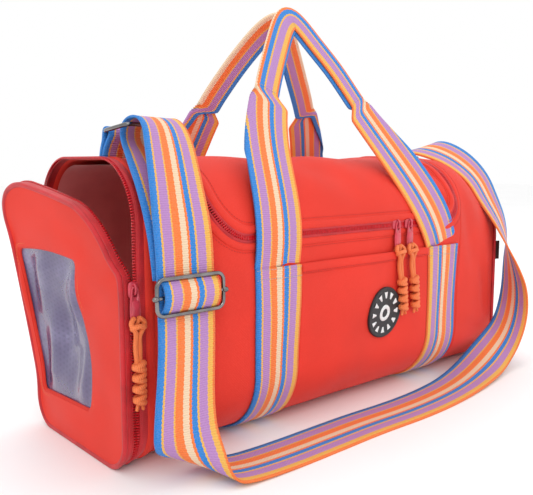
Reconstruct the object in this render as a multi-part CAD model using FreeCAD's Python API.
"""Soft sports duffel bag with a zipped end compartment, a zipped lid, two carry handles and a shoulder strap.

Millimetres. +X runs along the bag to the far end, -Y is the front, +Z is up, and the origin is
on the floor under the middle of the body. Every sub-part is one closed solid in its own file.
"""
import FreeCAD, Part
import math
import os

V = FreeCAD.Vector

# ---- body -------------------------------------------------------------------------------------
BODY_LENGTH = 508.0        # over both end panels
BODY_HEIGHT = 238.0        # top of the fabric
BELLY_HALF_DEPTH = 91.0    # half the depth in the middle of the bag
END_HALF_DEPTH = 76.0      # half the depth at the end panels
BELLY_TOP_RADIUS = 64.0
BELLY_BOTTOM_RADIUS = 56.0
END_TOP_RADIUS = 46.0
END_BOTTOM_RADIUS = 24.0
DIVIDER_X = -118.0         # the wall between the end compartment and the main one
FAR_HALF_DEPTH = 71.0      # the far end is smaller and droops
FAR_TOP_RADIUS = 68.0
FAR_HEIGHT = 212.0
BELLY_HALF_LENGTH = 150.0  # the section is constant over this half length
FABRIC = 1.4               # outer fabric with its backing
LINING = 0.8
LINING_GAP = 3.6           # room between fabric and lining for zip sliders
LAYER_GAP = 0.2            # between layers that lie on each other
MOVE_GAP = 0.4             # between pieces that move past each other

# ---- webbing ----------------------------------------------------------------------------------
WEB_WIDTH = 50.0
WEB_THICK = 2.0
STRAP_THICK = 1.8
BASE_LIFT = WEB_THICK + LAYER_GAP     # the bag stands on the webbing that passes under it
LEG_X = 116.0              # from the middle to the centre of a handle leg
SEW_HEIGHT = 148.0         # the legs are sewn to the body up to here
GRIP_WIDTH = 25.0          # webbing folded lengthwise
GRIP_THICK = 5.0

# ---- end zip ----------------------------------------------------------------------------------
NEAR_X = -BODY_LENGTH / 2
FAR_X = BODY_LENGTH / 2
PANEL = 1.4
PIPING_RADIUS = 2.2
END_CHAIN_X = NEAR_X + 8.5           # middle of the end zip
CHAIN_HALF_GAP = 0.9
CHAIN_WIDTH = 1.3
CHAIN_PROUD = 1.0
TAPE_THICK = 1.2
END_TAPE_OUTER = 10.0                # body tape runs this far from the zip's middle
FOLD_FRONT_Z = 151.0                 # where the open flap leaves the front edge
FOLD_REAR_Z = BASE_LIFT + END_BOTTOM_RADIUS + 2.0
FOLD_GAP = 0.5
FLAP_OPEN_DEG = 10.0                 # how far the flap leans out as modelled

# ---- lid zip ----------------------------------------------------------------------------------
LID_LEFT = -178.0
LID_RIGHT = 142.0
LID_ZIP_Z = BODY_HEIGHT - BELLY_TOP_RADIUS
LID_CORNER = 25.0
LID_TAPE = 9.0
LID_HINGE_Z = LID_ZIP_Z + 4.0

# ---- zip sliders ------------------------------------------------------------------------------
SLIDER_LENGTH = 12.0
SLIDER_WIDTH = 10.0
SLIDER_PLATE = 1.6
SLIDER_WEB = 1.0
CROWN_ROOM = 2.3
TAB_LENGTH = 26.0
TAB_WIDTH = 9.0
TAB_THICK = 1.0
TAB_BAR = 1.0
TAB_END_BAR = 2.4
CORD_RADIUS = 1.9
PULL_LENGTH = 66.0
PULL_KNOTS = 4
LEFT_SLIDER_X = 39.0
RIGHT_SLIDER_X = 58.0
END_SLIDER_Z = 142.0

# ---- badge, side tag --------------------------------------------------------------------------
BADGE_X = 19.0
BADGE_Z = 90.0
BADGE_RADIUS = 25.0
BADGE_THICK = 2.0
BADGE_RIM = 3.0
TAG_Z = 118.0
TAG_HEIGHT = 22.0
TAG_OUT = 8.0

# ---- strap hardware ---------------------------------------------------------------------------
RING_WIRE = 3.4
RING_INNER = 54.0
NEAR_RING_LIFT = 25.4         # height of the ring's strap bar over the body's top
FAR_RING_LIFT = 28.0
RING_BARS = 25.0           # between the centres of its two bars
ADJUSTER_CENTRE = V(-214.0, -107.0, 139.0)
ADJUSTER_WIDTH = 62.0
ADJUSTER_HEIGHT = 30.0
ADJUSTER_WIRE = 3.2

os.makedirs("parts", exist_ok=True)


def save(name, shape):
    """Write one closed solid under its own name."""
    if shape.ShapeType != "Solid":
        solids = shape.Solids
        if len(solids) != 1:
            volumes = [round(s.Volume, 2) for s in solids]
            print("NOTE", name, "has", len(solids), "solids", volumes[:6])
        shape = max(solids, key=lambda s: s.Volume)
    if not shape.isValid():
        shape.fix(1e-5, 1e-5, 1e-5)
    box = shape.BoundBox
    print("%-26s valid %s volume %9.1f  x %.1f..%.1f y %.1f..%.1f z %.1f..%.1f" % (
        name, shape.isValid(), shape.Volume, box.XMin, box.XMax, box.YMin, box.YMax, box.ZMin, box.ZMax))
    shape.exportStep("parts/" + name + ".step")
    return shape


def box(x0, x1, y0, y1, z0, z1):
    """A box between two corners."""
    return Part.makeBox(x1 - x0, y1 - y0, z1 - z0, V(x0, y0, z0))


# ---- the bag's section ------------------------------------------------------------------------
def section(x, half, height, bottom_radius, top_radius, grow=0.0):
    """The bag's rounded outline across X, grown outwards all round."""
    a = half + grow
    low = BASE_LIFT - grow
    high = height + grow
    rb = bottom_radius + grow
    rt = top_radius + grow
    c = math.sqrt(0.5)

    def p(y, z):
        return V(x, y, z)

    edges = [
        Part.LineSegment(p(-a + rb, low), p(a - rb, low)).toShape(),
        Part.Arc(p(a - rb, low), p(a - rb + rb * c, low + rb - rb * c), p(a, low + rb)).toShape(),
        Part.LineSegment(p(a, low + rb), p(a, high - rt)).toShape(),
        Part.Arc(p(a, high - rt), p(a - rt + rt * c, high - rt + rt * c), p(a - rt, high)).toShape(),
        Part.LineSegment(p(a - rt, high), p(-a + rt, high)).toShape(),
        Part.Arc(p(-a + rt, high), p(-a + rt - rt * c, high - rt + rt * c), p(-a, high - rt)).toShape(),
        Part.LineSegment(p(-a, high - rt), p(-a, low + rb)).toShape(),
        Part.Arc(p(-a, low + rb), p(-a + rb - rb * c, low + rb - rb * c), p(-a + rb, low)).toShape(),
    ]
    return Part.Wire(edges)


def end_section(x, grow=0.0):
    """The outline at the near end."""
    return section(x, END_HALF_DEPTH, BODY_HEIGHT, END_BOTTOM_RADIUS, END_TOP_RADIUS, grow)


def belly_section(x, grow=0.0):
    """The outline in the middle."""
    return section(x, BELLY_HALF_DEPTH, BODY_HEIGHT, BELLY_BOTTOM_RADIUS, BELLY_TOP_RADIUS, grow)


def far_section(x, grow=0.0):
    """The outline at the far end."""
    return section(x, FAR_HALF_DEPTH, FAR_HEIGHT, END_BOTTOM_RADIUS, FAR_TOP_RADIUS, grow)


WRAP_START = END_CHAIN_X + END_TAPE_OUTER


def form(grow):
    """The whole body grown by grow: near taper, straight belly and far taper."""
    near = Part.makeLoft([end_section(WRAP_START, grow), belly_section(-BELLY_HALF_LENGTH, grow)], True, True)
    belly = Part.Face(belly_section(-BELLY_HALF_LENGTH, grow)).extrude(V(2 * BELLY_HALF_LENGTH, 0, 0))
    far = Part.makeLoft([belly_section(BELLY_HALF_LENGTH, grow), far_section(FAR_X, grow)], True, True)
    return near.fuse([belly, far])


def skin(outer, inner):
    """The layer between two growths of the body."""
    return form(outer).cut(form(inner))


def tube_at_end(x0, x1, outer, inner):
    """A short sleeve of the near end's outline."""
    whole = Part.Face(end_section(x0, outer)).extrude(V(x1 - x0, 0, 0))
    hole = Part.Face(end_section(x0 - 1, inner)).extrude(V(x1 - x0 + 2, 0, 0))
    return whole.cut(hole)


# ---- lid outline ------------------------------------------------------------------------------
def lid_region(grow):
    """Everything above the lid zip's line moved outwards by grow, with rounded front corners."""
    left = LID_LEFT - grow
    right = LID_RIGHT + grow
    low = LID_ZIP_Z - grow
    r = LID_CORNER + grow
    c = r * (1 - math.sqrt(0.5))
    y = -BELLY_HALF_DEPTH - 40
    top = BODY_HEIGHT + 60

    def p(x, z):
        return V(x, y, z)

    wire = Part.Wire([
        Part.LineSegment(p(left + r, low), p(right - r, low)).toShape(),
        Part.Arc(p(right - r, low), p(right - c, low + c), p(right, low + r)).toShape(),
        Part.LineSegment(p(right, low + r), p(right, top)).toShape(),
        Part.LineSegment(p(right, top), p(left, top)).toShape(),
        Part.LineSegment(p(left, top), p(left, low + r)).toShape(),
        Part.Arc(p(left, low + r), p(left + c, low + c), p(left + r, low)).toShape(),
    ])
    front = Part.Face(wire).extrude(V(0, -y, 0))
    rear = box(left, right, -0.01, -y, LID_HINGE_Z, top)
    return front.fuse(rear)


# ---- ribbons of webbing -----------------------------------------------------------------------
def unit(v):
    """A vector of length one."""
    return V(v.x / v.Length, v.y / v.Length, v.z / v.Length)


def directions(points):
    """The direction along a run of points, from each one's neighbours."""
    last = len(points) - 1
    return [unit(points[min(i + 1, last)] - points[max(i - 1, 0)]) for i in range(len(points))]


def ribbon(stations):
    """A flat band through (centre, along, across, width, thickness) stations, ruled between them."""
    wires = []
    for centre, along, across, width, thick in stations:
        across = unit(across - along * across.dot(along))
        normal = unit(along.cross(across))
        w = across * (width / 2)
        n = normal * (thick / 2)
        corners = [centre - w - n, centre + w - n, centre + w + n, centre - w + n]
        wires.append(Part.makePolygon(corners + corners[:1]))
    return Part.makeLoft(wires, True, True)


# ---- body panels ------------------------------------------------------------------------------
def build_body():
    """The outer wrap, far end panel, linings and divider."""
    outer = form(0)
    wrap = outer.cut(form(-FABRIC))
    wrap = wrap.cut(lid_region(LID_TAPE + LAYER_GAP))
    wrap = wrap.common(box(WRAP_START, FAR_X - PANEL, -200, 200, -10, 400))
    save("main_wrap", wrap)
    far_face = Part.Face(far_section(FAR_X - PANEL))
    save("far_end_panel", far_face.extrude(V(PANEL, 0, 0)))
    depth = FABRIC + LINING_GAP
    liner = form(-depth).cut(form(-depth - LINING))
    sleeve = liner.common(box(WRAP_START + 1, DIVIDER_X, -200, 200, -10, 400))
    save("shoe_lining", sleeve)
    divider = form(-depth).common(box(DIVIDER_X, DIVIDER_X + LINING, -200, 200, -10, 400))
    save("divider_panel", divider)
    main = liner.common(box(DIVIDER_X + LINING, FAR_X - PANEL - 1, -200, 200, -10, 400))
    main = main.cut(lid_region(LID_TAPE + LAYER_GAP + 3))
    save("main_lining", main)


def build_front():
    """The slip pocket on the front and the round badge on it."""
    pocket_edge = LEG_X - WEB_WIDTH / 2 - 1.0
    layer = skin(LAYER_GAP + 1.2, LAYER_GAP)
    pocket = layer.common(box(-pocket_edge, pocket_edge, -200, 0, BASE_LIFT + 12, SEW_HEIGHT))
    save("front_pocket", pocket)
    y = -(BELLY_HALF_DEPTH + LAYER_GAP + 1.2)
    badge = Part.makeCylinder(BADGE_RADIUS, BADGE_THICK, V(BADGE_X, y, BADGE_Z), V(0, -1, 0))
    groove = Part.makeCylinder(BADGE_RADIUS - BADGE_RIM, 0.8, V(BADGE_X, y - BADGE_THICK + 0.8, BADGE_Z), V(0, -1, 0))
    save("badge", badge.cut(groove))
    face_y = y - BADGE_THICK + 0.8
    hub = Part.makeCylinder(BADGE_RADIUS * 0.45, 0.5, V(BADGE_X, face_y, BADGE_Z), V(0, -1, 0))
    spokes = [hub]
    count = 12
    for i in range(count):
        spoke = box(-0.9, 0.9, face_y - 0.5, face_y, BADGE_RADIUS * 0.3, BADGE_RADIUS - BADGE_RIM - 1.5)
        spoke.rotate(V(0, 0, 0), V(0, 1, 0), 360.0 * i / count)
        spoke.translate(V(BADGE_X, 0, BADGE_Z))
        spokes.append(spoke)
    save("badge_pattern", spokes[0].fuse(spokes[1:]))


def build_side_tag():
    """The small folded fabric tag in the far end's front seam."""
    y = -FAR_HALF_DEPTH
    tag = box(FAR_X - PANEL, FAR_X + TAG_OUT, y - 1.4, y - 0.2, TAG_Z, TAG_Z + TAG_HEIGHT)
    save("side_tag", tag)


def build_girth_straps():
    """Each handle's sewn stretch: up the front, under the bag and up the back as one band."""
    layer = skin(LAYER_GAP + WEB_THICK, LAYER_GAP)
    for name, x in (("near_girth_strap", -LEG_X), ("far_girth_strap", LEG_X)):
        band = layer.common(box(x - WEB_WIDTH / 2, x + WEB_WIDTH / 2, -200, 200, -10, SEW_HEIGHT))
        save(name, band)


# ---- handles ----------------------------------------------------------------------------------
def build_handle(side, name, left, top, right):
    """One carry handle: two flat legs that fold lengthwise into a narrow grip.

    left and right list a leg's (x, distance from the middle plane, z) upwards, and top the grip's.
    """
    foot_y = side * (BELLY_HALF_DEPTH + LAYER_GAP + WEB_THICK / 2)
    lifted = side * (BELLY_HALF_DEPTH + CHAIN_PROUD + 1.5 + WEB_THICK / 2)
    foot_z = SEW_HEIGHT + MOVE_GAP
    rise = foot_z + 18.0
    points = [V(-LEG_X, foot_y, foot_z), V(left[0], lifted, rise)]
    points += [V(x, side * y, z) for x, y, z in left[1:] + top + right[:0:-1]]
    points += [V(right[0], lifted, rise), V(LEG_X, foot_y, foot_z)]
    curve = Part.BSplineCurve()
    curve.interpolate(points)
    fold_left = curve.parameter(points[len(left)])
    fold_right = curve.parameter(points[len(left) + len(top) + 1])
    stops = [curve.FirstParameter, fold_left, fold_right, curve.LastParameter]
    steps = 12
    samples = []
    for k in range(3):
        samples += [stops[k] + (stops[k + 1] - stops[k]) * i / steps for i in range(steps)]
    samples.append(stops[3])
    centres = [curve.value(u) for u in samples]
    alongs = directions(centres)
    last = len(centres) - 1
    stations = []
    for i, centre in enumerate(centres):
        along = alongs[i]
        from_foot = min(i, last - i)
        if from_foot < 5:
            level = V(0, 0, 1) if i < steps else V(0, 0, -1)
            along = unit(along * (from_foot / 5) + level * (1 - from_foot / 5))
        share = min(1.0, max(0.0, (from_foot - steps + 4) / 4))
        facing = V(0, side, 0.4 * min(1.0, from_foot / steps))
        width = WEB_WIDTH + (GRIP_WIDTH - WEB_WIDTH) * share
        thick = WEB_THICK + (GRIP_THICK - WEB_THICK) * share
        stations.append((centre, along, along.cross(facing), width, thick))
    save(name + "_leg_left", ribbon(stations[:steps + 1]))
    save(name + "_grip", ribbon(stations[steps:2 * steps + 1]))
    save(name + "_leg_right", ribbon(stations[2 * steps:]))


# ---- near end: flap, window, zip --------------------------------------------------------------
def fold_cutter(gap):
    """Everything on the flap's side of the slanted fold, starting gap above it."""
    a = END_HALF_DEPTH + 30
    slope = (FOLD_FRONT_Z - FOLD_REAR_Z) / (2 * END_HALF_DEPTH)
    mid = (FOLD_FRONT_Z + FOLD_REAR_Z) / 2 + gap
    x0 = NEAR_X - 20
    wire = Part.makePolygon([
        V(x0, -a, mid + slope * a), V(x0, a, mid - slope * a),
        V(x0, a + 1, 500), V(x0, -a, 500), V(x0, -a, mid + slope * a)])
    return Part.Face(wire).extrude(V(60, 0, 0))


def window_outline(x0, depth, grow):
    """The window: straight bottom, top and rear, and a front edge that waves."""
    g = grow
    front = -END_HALF_DEPTH * 0.31
    rear = END_HALF_DEPTH - 9.0
    low = 36.0
    high = 182.0
    points = [V(x0, front - g, low - g), V(x0, front - 3 - g, 84.0), V(x0, front + 12 - g, 128.0),
              V(x0, front - g, high + g)]
    wave = Part.BSplineCurve()
    wave.interpolate(points)
    edges = [wave.toShape(),
             Part.LineSegment(V(x0, front - g, high + g), V(x0, rear + g, high + g)).toShape(),
             Part.LineSegment(V(x0, rear + g, high + g), V(x0, rear + g, low - g)).toShape(),
             Part.LineSegment(V(x0, rear + g, low - g), V(x0, front - g, low - g)).toShape()]
    return Part.Face(Part.Wire(edges)).extrude(V(depth, 0, 0))


def build_near_end():
    """The end panel, its window, piping and zip half, parted at the slanted fold."""
    upper = fold_cutter(FOLD_GAP / 2)
    lower_limit = fold_cutter(-FOLD_GAP / 2)
    panel = Part.Face(end_section(NEAR_X)).extrude(V(PANEL, 0, 0))
    hole = window_outline(NEAR_X - 1, PANEL + 2, 0)
    panel = panel.cut(hole)
    window = window_outline(NEAR_X + PANEL, 0.6, 5.0)
    path = end_section(NEAR_X + 0.6, 0.6)
    start = V(NEAR_X + 0.6, 0, BASE_LIFT - 0.6)
    circle = Part.Wire([Part.makeCircle(PIPING_RADIUS, start, V(0, 1, 0))])
    bead = path.makePipeShell([circle], True, True)
    bead = bead.cut(Part.Face(end_section(NEAR_X - 5, 0.02)).extrude(V(20, 0, 0)))
    bead = bead.cut(box(NEAR_X - 20, NEAR_X + 20, -200, 200, -50, 0.02))
    tape = tube_at_end(NEAR_X + PANEL + 1.6, END_CHAIN_X - CHAIN_HALF_GAP - CHAIN_WIDTH, 0, -TAPE_THICK)
    tape = tape.fuse(tube_at_end(NEAR_X + PANEL, NEAR_X + PANEL + 1.6, -0.02, -TAPE_THICK))
    chain_in = -TAPE_THICK - 0.4
    chain = tube_at_end(END_CHAIN_X - CHAIN_HALF_GAP - CHAIN_WIDTH, END_CHAIN_X - CHAIN_HALF_GAP,
                        CHAIN_PROUD, chain_in)
    hinge = (V(NEAR_X - 2, -END_HALF_DEPTH, FOLD_FRONT_Z), V(NEAR_X - 2, END_HALF_DEPTH, FOLD_REAR_Z))
    direction = unit(hinge[1] - hinge[0])
    print("flap hinge origin", tuple(hinge[0]), "axis", tuple(direction))
    for label, shape in (("panel", panel), ("window", window), ("piping", bead), ("zip_tape", tape),
                         ("zip_teeth", chain)):
        flap = shape.common(upper)
        flap.rotate(hinge[0], direction, -FLAP_OPEN_DEG)
        save("flap_" + label, flap)
        save("end_" + label, shape.cut(lower_limit))
    body_chain = tube_at_end(END_CHAIN_X + CHAIN_HALF_GAP, END_CHAIN_X + CHAIN_HALF_GAP + CHAIN_WIDTH,
                             CHAIN_PROUD, chain_in)
    save("body_end_zip_teeth", body_chain)
    body_tape = tube_at_end(END_CHAIN_X + CHAIN_HALF_GAP + CHAIN_WIDTH, WRAP_START, 0, -TAPE_THICK)
    save("body_end_zip_tape", body_tape)


# ---- lid --------------------------------------------------------------------------------------
def build_lid():
    """The lid panel and both halves of its zip."""
    c = CHAIN_HALF_GAP
    w = CHAIN_WIDTH
    save("lid_panel", skin(0, -FABRIC).common(lid_region(-LID_TAPE)).cut(box(-300, 300, 0, 200, 0,
                                                                         LID_HINGE_Z + MOVE_GAP)))
    tape = skin(0, -TAPE_THICK)
    teeth = skin(CHAIN_PROUD, -TAPE_THICK - 0.4)
    keep_off = box(-300, 300, 0, 200, 0, LID_HINGE_Z + MOVE_GAP)
    save("lid_zip_tape", tape.common(lid_region(-c - w)).cut(lid_region(-LID_TAPE)).cut(keep_off))
    save("lid_zip_teeth", teeth.common(lid_region(-c)).cut(lid_region(-c - w)).cut(keep_off))
    save("body_lid_zip_teeth", teeth.common(lid_region(c + w)).cut(lid_region(c)))
    save("body_lid_zip_tape", tape.common(lid_region(LID_TAPE)).cut(lid_region(c + w)))


# ---- zip sliders, tabs and cord pulls ---------------------------------------------------------
def build_slider(name, x, face_y, z, upright, lean_deg):
    """A slider on a front face at y = face_y, with a hanging tab and a knotted cord pull."""
    half_l = SLIDER_LENGTH / 2
    half_w = SLIDER_WIDTH / 2
    if upright:
        hx, hz = half_w, half_l
        web = box(x - SLIDER_WEB / 2, x + SLIDER_WEB / 2, face_y - CHAIN_PROUD - MOVE_GAP - 0.1,
                  face_y + TAPE_THICK + 0.4 + MOVE_GAP + 0.1, z - 4, z + 4)
    else:
        hx, hz = half_l, half_w
        web = box(x - 4, x + 4, face_y - CHAIN_PROUD - MOVE_GAP - 0.1,
                  face_y + TAPE_THICK + 0.4 + MOVE_GAP + 0.1, z - SLIDER_WEB / 2, z + SLIDER_WEB / 2)
    front_y = face_y - CHAIN_PROUD - MOVE_GAP
    back_y = face_y + TAPE_THICK + 0.4 + MOVE_GAP
    front = box(x - hx, x + hx, front_y - SLIDER_PLATE, front_y, z - hz, z + hz)
    front = front.makeFillet(1.2, [e for e in front.Edges if abs(e.tangentAt(e.FirstParameter).y) > 0.9])
    back = box(x - hx, x + hx, back_y, back_y + 1.2, z - hz, z + hz)
    plate_y = front_y - SLIDER_PLATE
    bar_y = plate_y - CROWN_ROOM
    top = z + 4.5
    crown = box(x - 1.2, x + 1.2, bar_y - 1.0, plate_y + 0.1, top - 1.0, top)
    crown = crown.fuse([box(x - 1.2, x + 1.2, bar_y - 1.0, bar_y, top - 8.0, top),
                        box(x - 1.2, x + 1.2, bar_y - 1.0, plate_y + 0.1, top - 8.0, top - 7.0)])
    save(name + "_slider", front.fuse([back, web, crown]))
    pivot_y = (plate_y + bar_y) / 2
    pivot_z = top - 2.2
    hole_low = pivot_z - 8.5
    low = pivot_z - TAB_LENGTH
    y0 = pivot_y - TAB_THICK / 2
    y1 = pivot_y + TAB_THICK / 2
    tab = box(x - TAB_WIDTH / 2, x + TAB_WIDTH / 2, y0, y1, low, pivot_z + TAB_BAR / 2)
    tab = tab.makeFillet(1.6, [e for e in tab.Edges
                               if abs(e.tangentAt(e.FirstParameter).y) > 0.9 and e.BoundBox.ZMin < low + 1])
    tab = tab.cut(box(x - 2.2, x + 2.2, y0 - 1, y1 + 1, hole_low, pivot_z - TAB_BAR / 2))
    hole_z = low + TAB_END_BAR
    tab = tab.cut(box(x - 2.3, x + 2.3, y0 - 1, y1 + 1, hole_z, hole_z + 3.2))
    save(name + "_tab", tab)
    loop_z = low + TAB_END_BAR / 2
    loop = Part.makeTorus(2.7, 0.8, V(x, pivot_y, loop_z), V(1, 0, 0))
    sink = 1.6
    cord_top = loop_z - 2.7
    cord = Part.makeCylinder(CORD_RADIUS, PULL_LENGTH * 0.55, V(x, pivot_y - sink, cord_top), V(0, 0, -1))
    pieces = [cord]
    for i in range(PULL_KNOTS):
        knot_z = cord_top - PULL_LENGTH * (0.52 + 0.135 * i)
        pieces.append(Part.makeSphere(4.6, V(x, pivot_y - 4.2, knot_z)))
    pull = loop.fuse(pieces)
    pull.rotate(V(x, pivot_y, loop_z), V(0, 1, 0), -lean_deg)
    save(name + "_cord_pull", pull)
    print(name, "tab pivot y %.2f z %.2f, pull pivot z %.2f" % (pivot_y, pivot_z, loop_z))


# ---- rings, tabs, adjuster and shoulder strap -------------------------------------------------
def capsule_chain(points, radius):
    """Round wire through points: cylinders with a ball at every corner."""
    pieces = []
    count = len(points)
    for i in range(count):
        a = points[i]
        b = points[(i + 1) % count]
        pieces.append(Part.makeCylinder(radius, (b - a).Length, a, b - a))
        pieces.append(Part.makeSphere(radius, a))
    return pieces[0].fuse(pieces[1:])


def build_ring(name, strap_bar, u, v, tab_out, clear):
    """A rectangular ring with its tab: u runs along the bars, v from the tab's bar to the strap's.

    The tab's foot stops at clear above the fabric.
    """
    tab_bar = strap_bar - v * RING_BARS
    half = RING_INNER / 2 + RING_WIRE / 2
    corners = [strap_bar + u * half, strap_bar - u * half, tab_bar - u * half, tab_bar + u * half]
    save(name + "_ring", capsule_chain(corners, RING_WIRE / 2))
    inner = RING_WIRE / 2 + MOVE_GAP
    start = tab_bar - u * (WEB_WIDTH / 2)
    loop = Part.makeCylinder(inner + WEB_THICK, WEB_WIDTH, start, u)
    up = V(0, 0, 1)
    across = unit(up.cross(u))
    if across.dot(tab_out) < 0:
        across = across * -1.0
    side = start + across * (inner + WEB_THICK / 2)
    half = across * (WEB_THICK / 2)
    high = side + up * (inner * 0.5)
    low = side - up * 45.0
    stem = Part.Face(Part.makePolygon([low - half, low + half, high + half, high - half, low - half]))
    stem = stem.extrude(u * WEB_WIDTH)
    hole = Part.makeCylinder(inner, WEB_WIDTH + 4, start - u * 2, u)
    tape_room = Part.Face(end_section(NEAR_X, clear)).extrude(V(WRAP_START + LAYER_GAP - NEAR_X, 0, 0))
    tab = loop.fuse(stem).cut(hole).cut(form(clear)).cut(tape_room)
    save(name + "_ring_tab", tab)
    print(name, "ring hinge", tuple(tab_bar), "axis", tuple(u))


def build_adjuster():
    """The three-bar slide on the strap and the strap's end sewn round its middle bar."""
    c = ADJUSTER_CENTRE
    r = ADJUSTER_WIRE / 2
    hx = ADJUSTER_WIDTH / 2 - r
    hz = ADJUSTER_HEIGHT / 2 - r
    k = 4.0
    corners = [V(c.x - hx + k, c.y, c.z - hz), V(c.x + hx - k, c.y, c.z - hz), V(c.x + hx, c.y, c.z - hz + k),
               V(c.x + hx, c.y, c.z + hz - k), V(c.x + hx - k, c.y, c.z + hz), V(c.x - hx + k, c.y, c.z + hz),
               V(c.x - hx, c.y, c.z + hz - k), V(c.x - hx, c.y, c.z - hz + k)]
    frame = capsule_chain(corners, r)
    save("adjuster_frame", frame)
    bar = Part.makeCylinder(r, 2 * hx + 2 * r + 5.0, V(c.x - hx - r - 2.5, c.y, c.z), V(1, 0, 0))
    ends = [Part.makeSphere(2.4, V(c.x + s * (hx + r + 2.5), c.y, c.z)) for s in (-1, 1)]
    slide = bar.fuse(ends).cut(frame)
    core = max(slide.Solids, key=lambda s: s.Volume)
    save("adjuster_bar", core)
    inner = r + 0.3
    wrap = Part.makeCylinder(inner + STRAP_THICK, WEB_WIDTH, V(c.x - WEB_WIDTH / 2, c.y, c.z), V(1, 0, 0))
    skirt = box(c.x - WEB_WIDTH / 2, c.x + WEB_WIDTH / 2, c.y - inner - STRAP_THICK, c.y - inner,
                c.z - hz + r + 0.4, c.z + hz - r - 0.4)
    hole = Part.makeCylinder(inner, WEB_WIDTH + 4, V(c.x - WEB_WIDTH / 2 - 2, c.y, c.z), V(1, 0, 0))
    save("strap_end_wrap", wrap.fuse(skirt).cut(hole))


# centre of the shoulder strap and the direction across it, from the adjuster to the far ring
STRAP_ROUTE = [
    (V(-214, -95, 150), V(1, 0, 0)), (V(-216, -94.5, 174), V(1, 0, 0)), (V(-218, -91, 197), V(1, 0, 0)),
    (V(-218, -81, 218), V(1, 0, 0)), (V(-216, -67, 233), V(1, 0.05, 0.02)), (V(-213, -51, 243), V(0.96, 0.2, 0)),
    (V(-211, -39, 248), V(0.936, 0.352, 0)), (V(-209.5, -33.5, 255), V(0.936, 0.352, 0)),
    (V(-209, -35, 263.5), V(0.936, 0.352, 0)), (V(-208, -43, 269), V(0.936, 0.352, 0)),
    (V(-208, -56, 269), V(0.936, 0.352, 0)), (V(-209, -68, 262), V(0.95, 0.3, 0)),
    (V(-211, -77, 249), V(0.97, 0.2, 0)), (V(-214, -87, 231), V(0.98, 0.15, 0)),
    (V(-216, -95, 211), V(0.99, 0.1, 0)), (V(-216, -100, 190), V(1, 0, 0)), (V(-215, -101.6, 168), V(1, 0, 0)),
    (V(-214, -101.6, 110), V(1, 0, 0)), (V(-218, -106, 84), V(1, 0, 0)), (V(-224, -112, 57), V(1, -0.05, 0)),
    (V(-227, -117, 34), V(1, -0.2, 0)), (V(-222, -121, 17), V(0.6, -0.75, -0.1)),
    (V(-207, -124, 7), V(0.15, -0.98, -0.1)), (V(-182, -126, 2.2), V(0, -1, 0)),
    (V(-140, -126.5, 1), V(0, -1, 0)), (V(-90, -125.5, 1), V(0, -1, 0)),
    (V(-40, -124.5, 1), V(0, -1, 0)), (V(15, -127, 1), V(0, -1, 0)), (V(68, -125, 1.2), V(0, -1, 0)),
    (V(118, -119, 2.6), V(0, -1, -0.02)), (V(164, -111, 8), V(-0.05, -0.98, -0.16)),
    (V(203, -106, 20), V(-0.18, -0.84, -0.5)), (V(238, -101, 36), V(-0.27, -0.87, -0.4)),
    (V(262, -95, 58), V(-0.3, -0.94, -0.16)), (V(269, -92, 85), V(-0.42, -0.9, 0)),
    (V(268, -87, 113), V(-0.62, -0.77, -0.1)), (V(260, -84, 141), V(-0.87, -0.48, -0.05)),
    (V(247, -81, 167), V(-0.93, -0.3, -0.1)), (V(233, -74, 191), V(-0.96, -0.15, -0.1)),
    (V(222, -65, 217), V(-0.98, -0.05, -0.1)), (V(212, -45, 237), V(-0.95, 0.1, -0.2)),
    (V(207, -20, 249), V(-0.92, 0.15, -0.3)), (V(206, 0, 252.5), V(-0.93, 0.15, -0.3)),
    (V(207, 15, 249.5), V(-0.97, 0.1, -0.15)), (V(208, 25, 246.8), V(-1, 0, 0)),
    (V(208, 32, 244.4), V(-1, 0, 0)), (V(208, 35.2, 240), V(-1, 0, 0)),
    (V(208, 32, 235.6), V(-1, 0, 0)), (V(208, 25, 233.8), V(-1, 0, 0)),
]


def build_strap():
    """The shoulder strap as one flat band along its route."""
    centres = [point for point, across in STRAP_ROUTE]
    alongs = directions(centres)
    stations = [(centres[i], alongs[i], STRAP_ROUTE[i][1], WEB_WIDTH, STRAP_THICK) for i in range(len(centres))]
    save("shoulder_strap", ribbon(stations))
    length = sum((centres[i + 1] - centres[i]).Length for i in range(len(centres) - 1))
    print("shoulder strap length %.0f" % length)


build_body()
build_front()
build_side_tag()
build_girth_straps()
build_near_end()
build_lid()
build_handle(-1, "front_handle", [-116, (-115, 90.5, 200), (-109, 71, 248), (-92, 50, 298)],
             [(-80, 42, 318), (-58, 28, 349), (-30, 17, 372), (-9, 24, 353), (12, 35, 326)],
             [105, (84, 89, 202), (60, 70, 245), (30, 47, 296)])
build_handle(1, "rear_handle", [-112, (-106, 90, 200), (-97, 71, 242), (-84, 49, 292)],
             [(-73, 41, 313), (-52, 26, 347), (-25, 12, 371), (0, 20, 351), (28, 35, 318)],
             [112, (100, 90, 200), (80, 74, 240), (50, 48, 292)])
build_slider("near_lid", LEFT_SLIDER_X, -BELLY_HALF_DEPTH, LID_ZIP_Z, False, 6.0)
build_slider("far_lid", RIGHT_SLIDER_X, -BELLY_HALF_DEPTH, LID_ZIP_Z, False, 6.0)
build_slider("end_zip", END_CHAIN_X, -END_HALF_DEPTH, END_SLIDER_Z, True, 0.0)
build_ring("near", V(-207, -46, BODY_HEIGHT + NEAR_RING_LIFT), V(0.936, 0.352, 0), V(0.345, -0.917, 0.2),
           V(0, 1, 0), LAYER_GAP + TAPE_THICK + CHAIN_PROUD)
build_ring("far", V(208, 30, FAR_HEIGHT + FAR_RING_LIFT), V(1, 0, 0), V(0, -0.968, 0.25), V(0, 1, 0), LAYER_GAP)
build_adjuster()
build_strap()
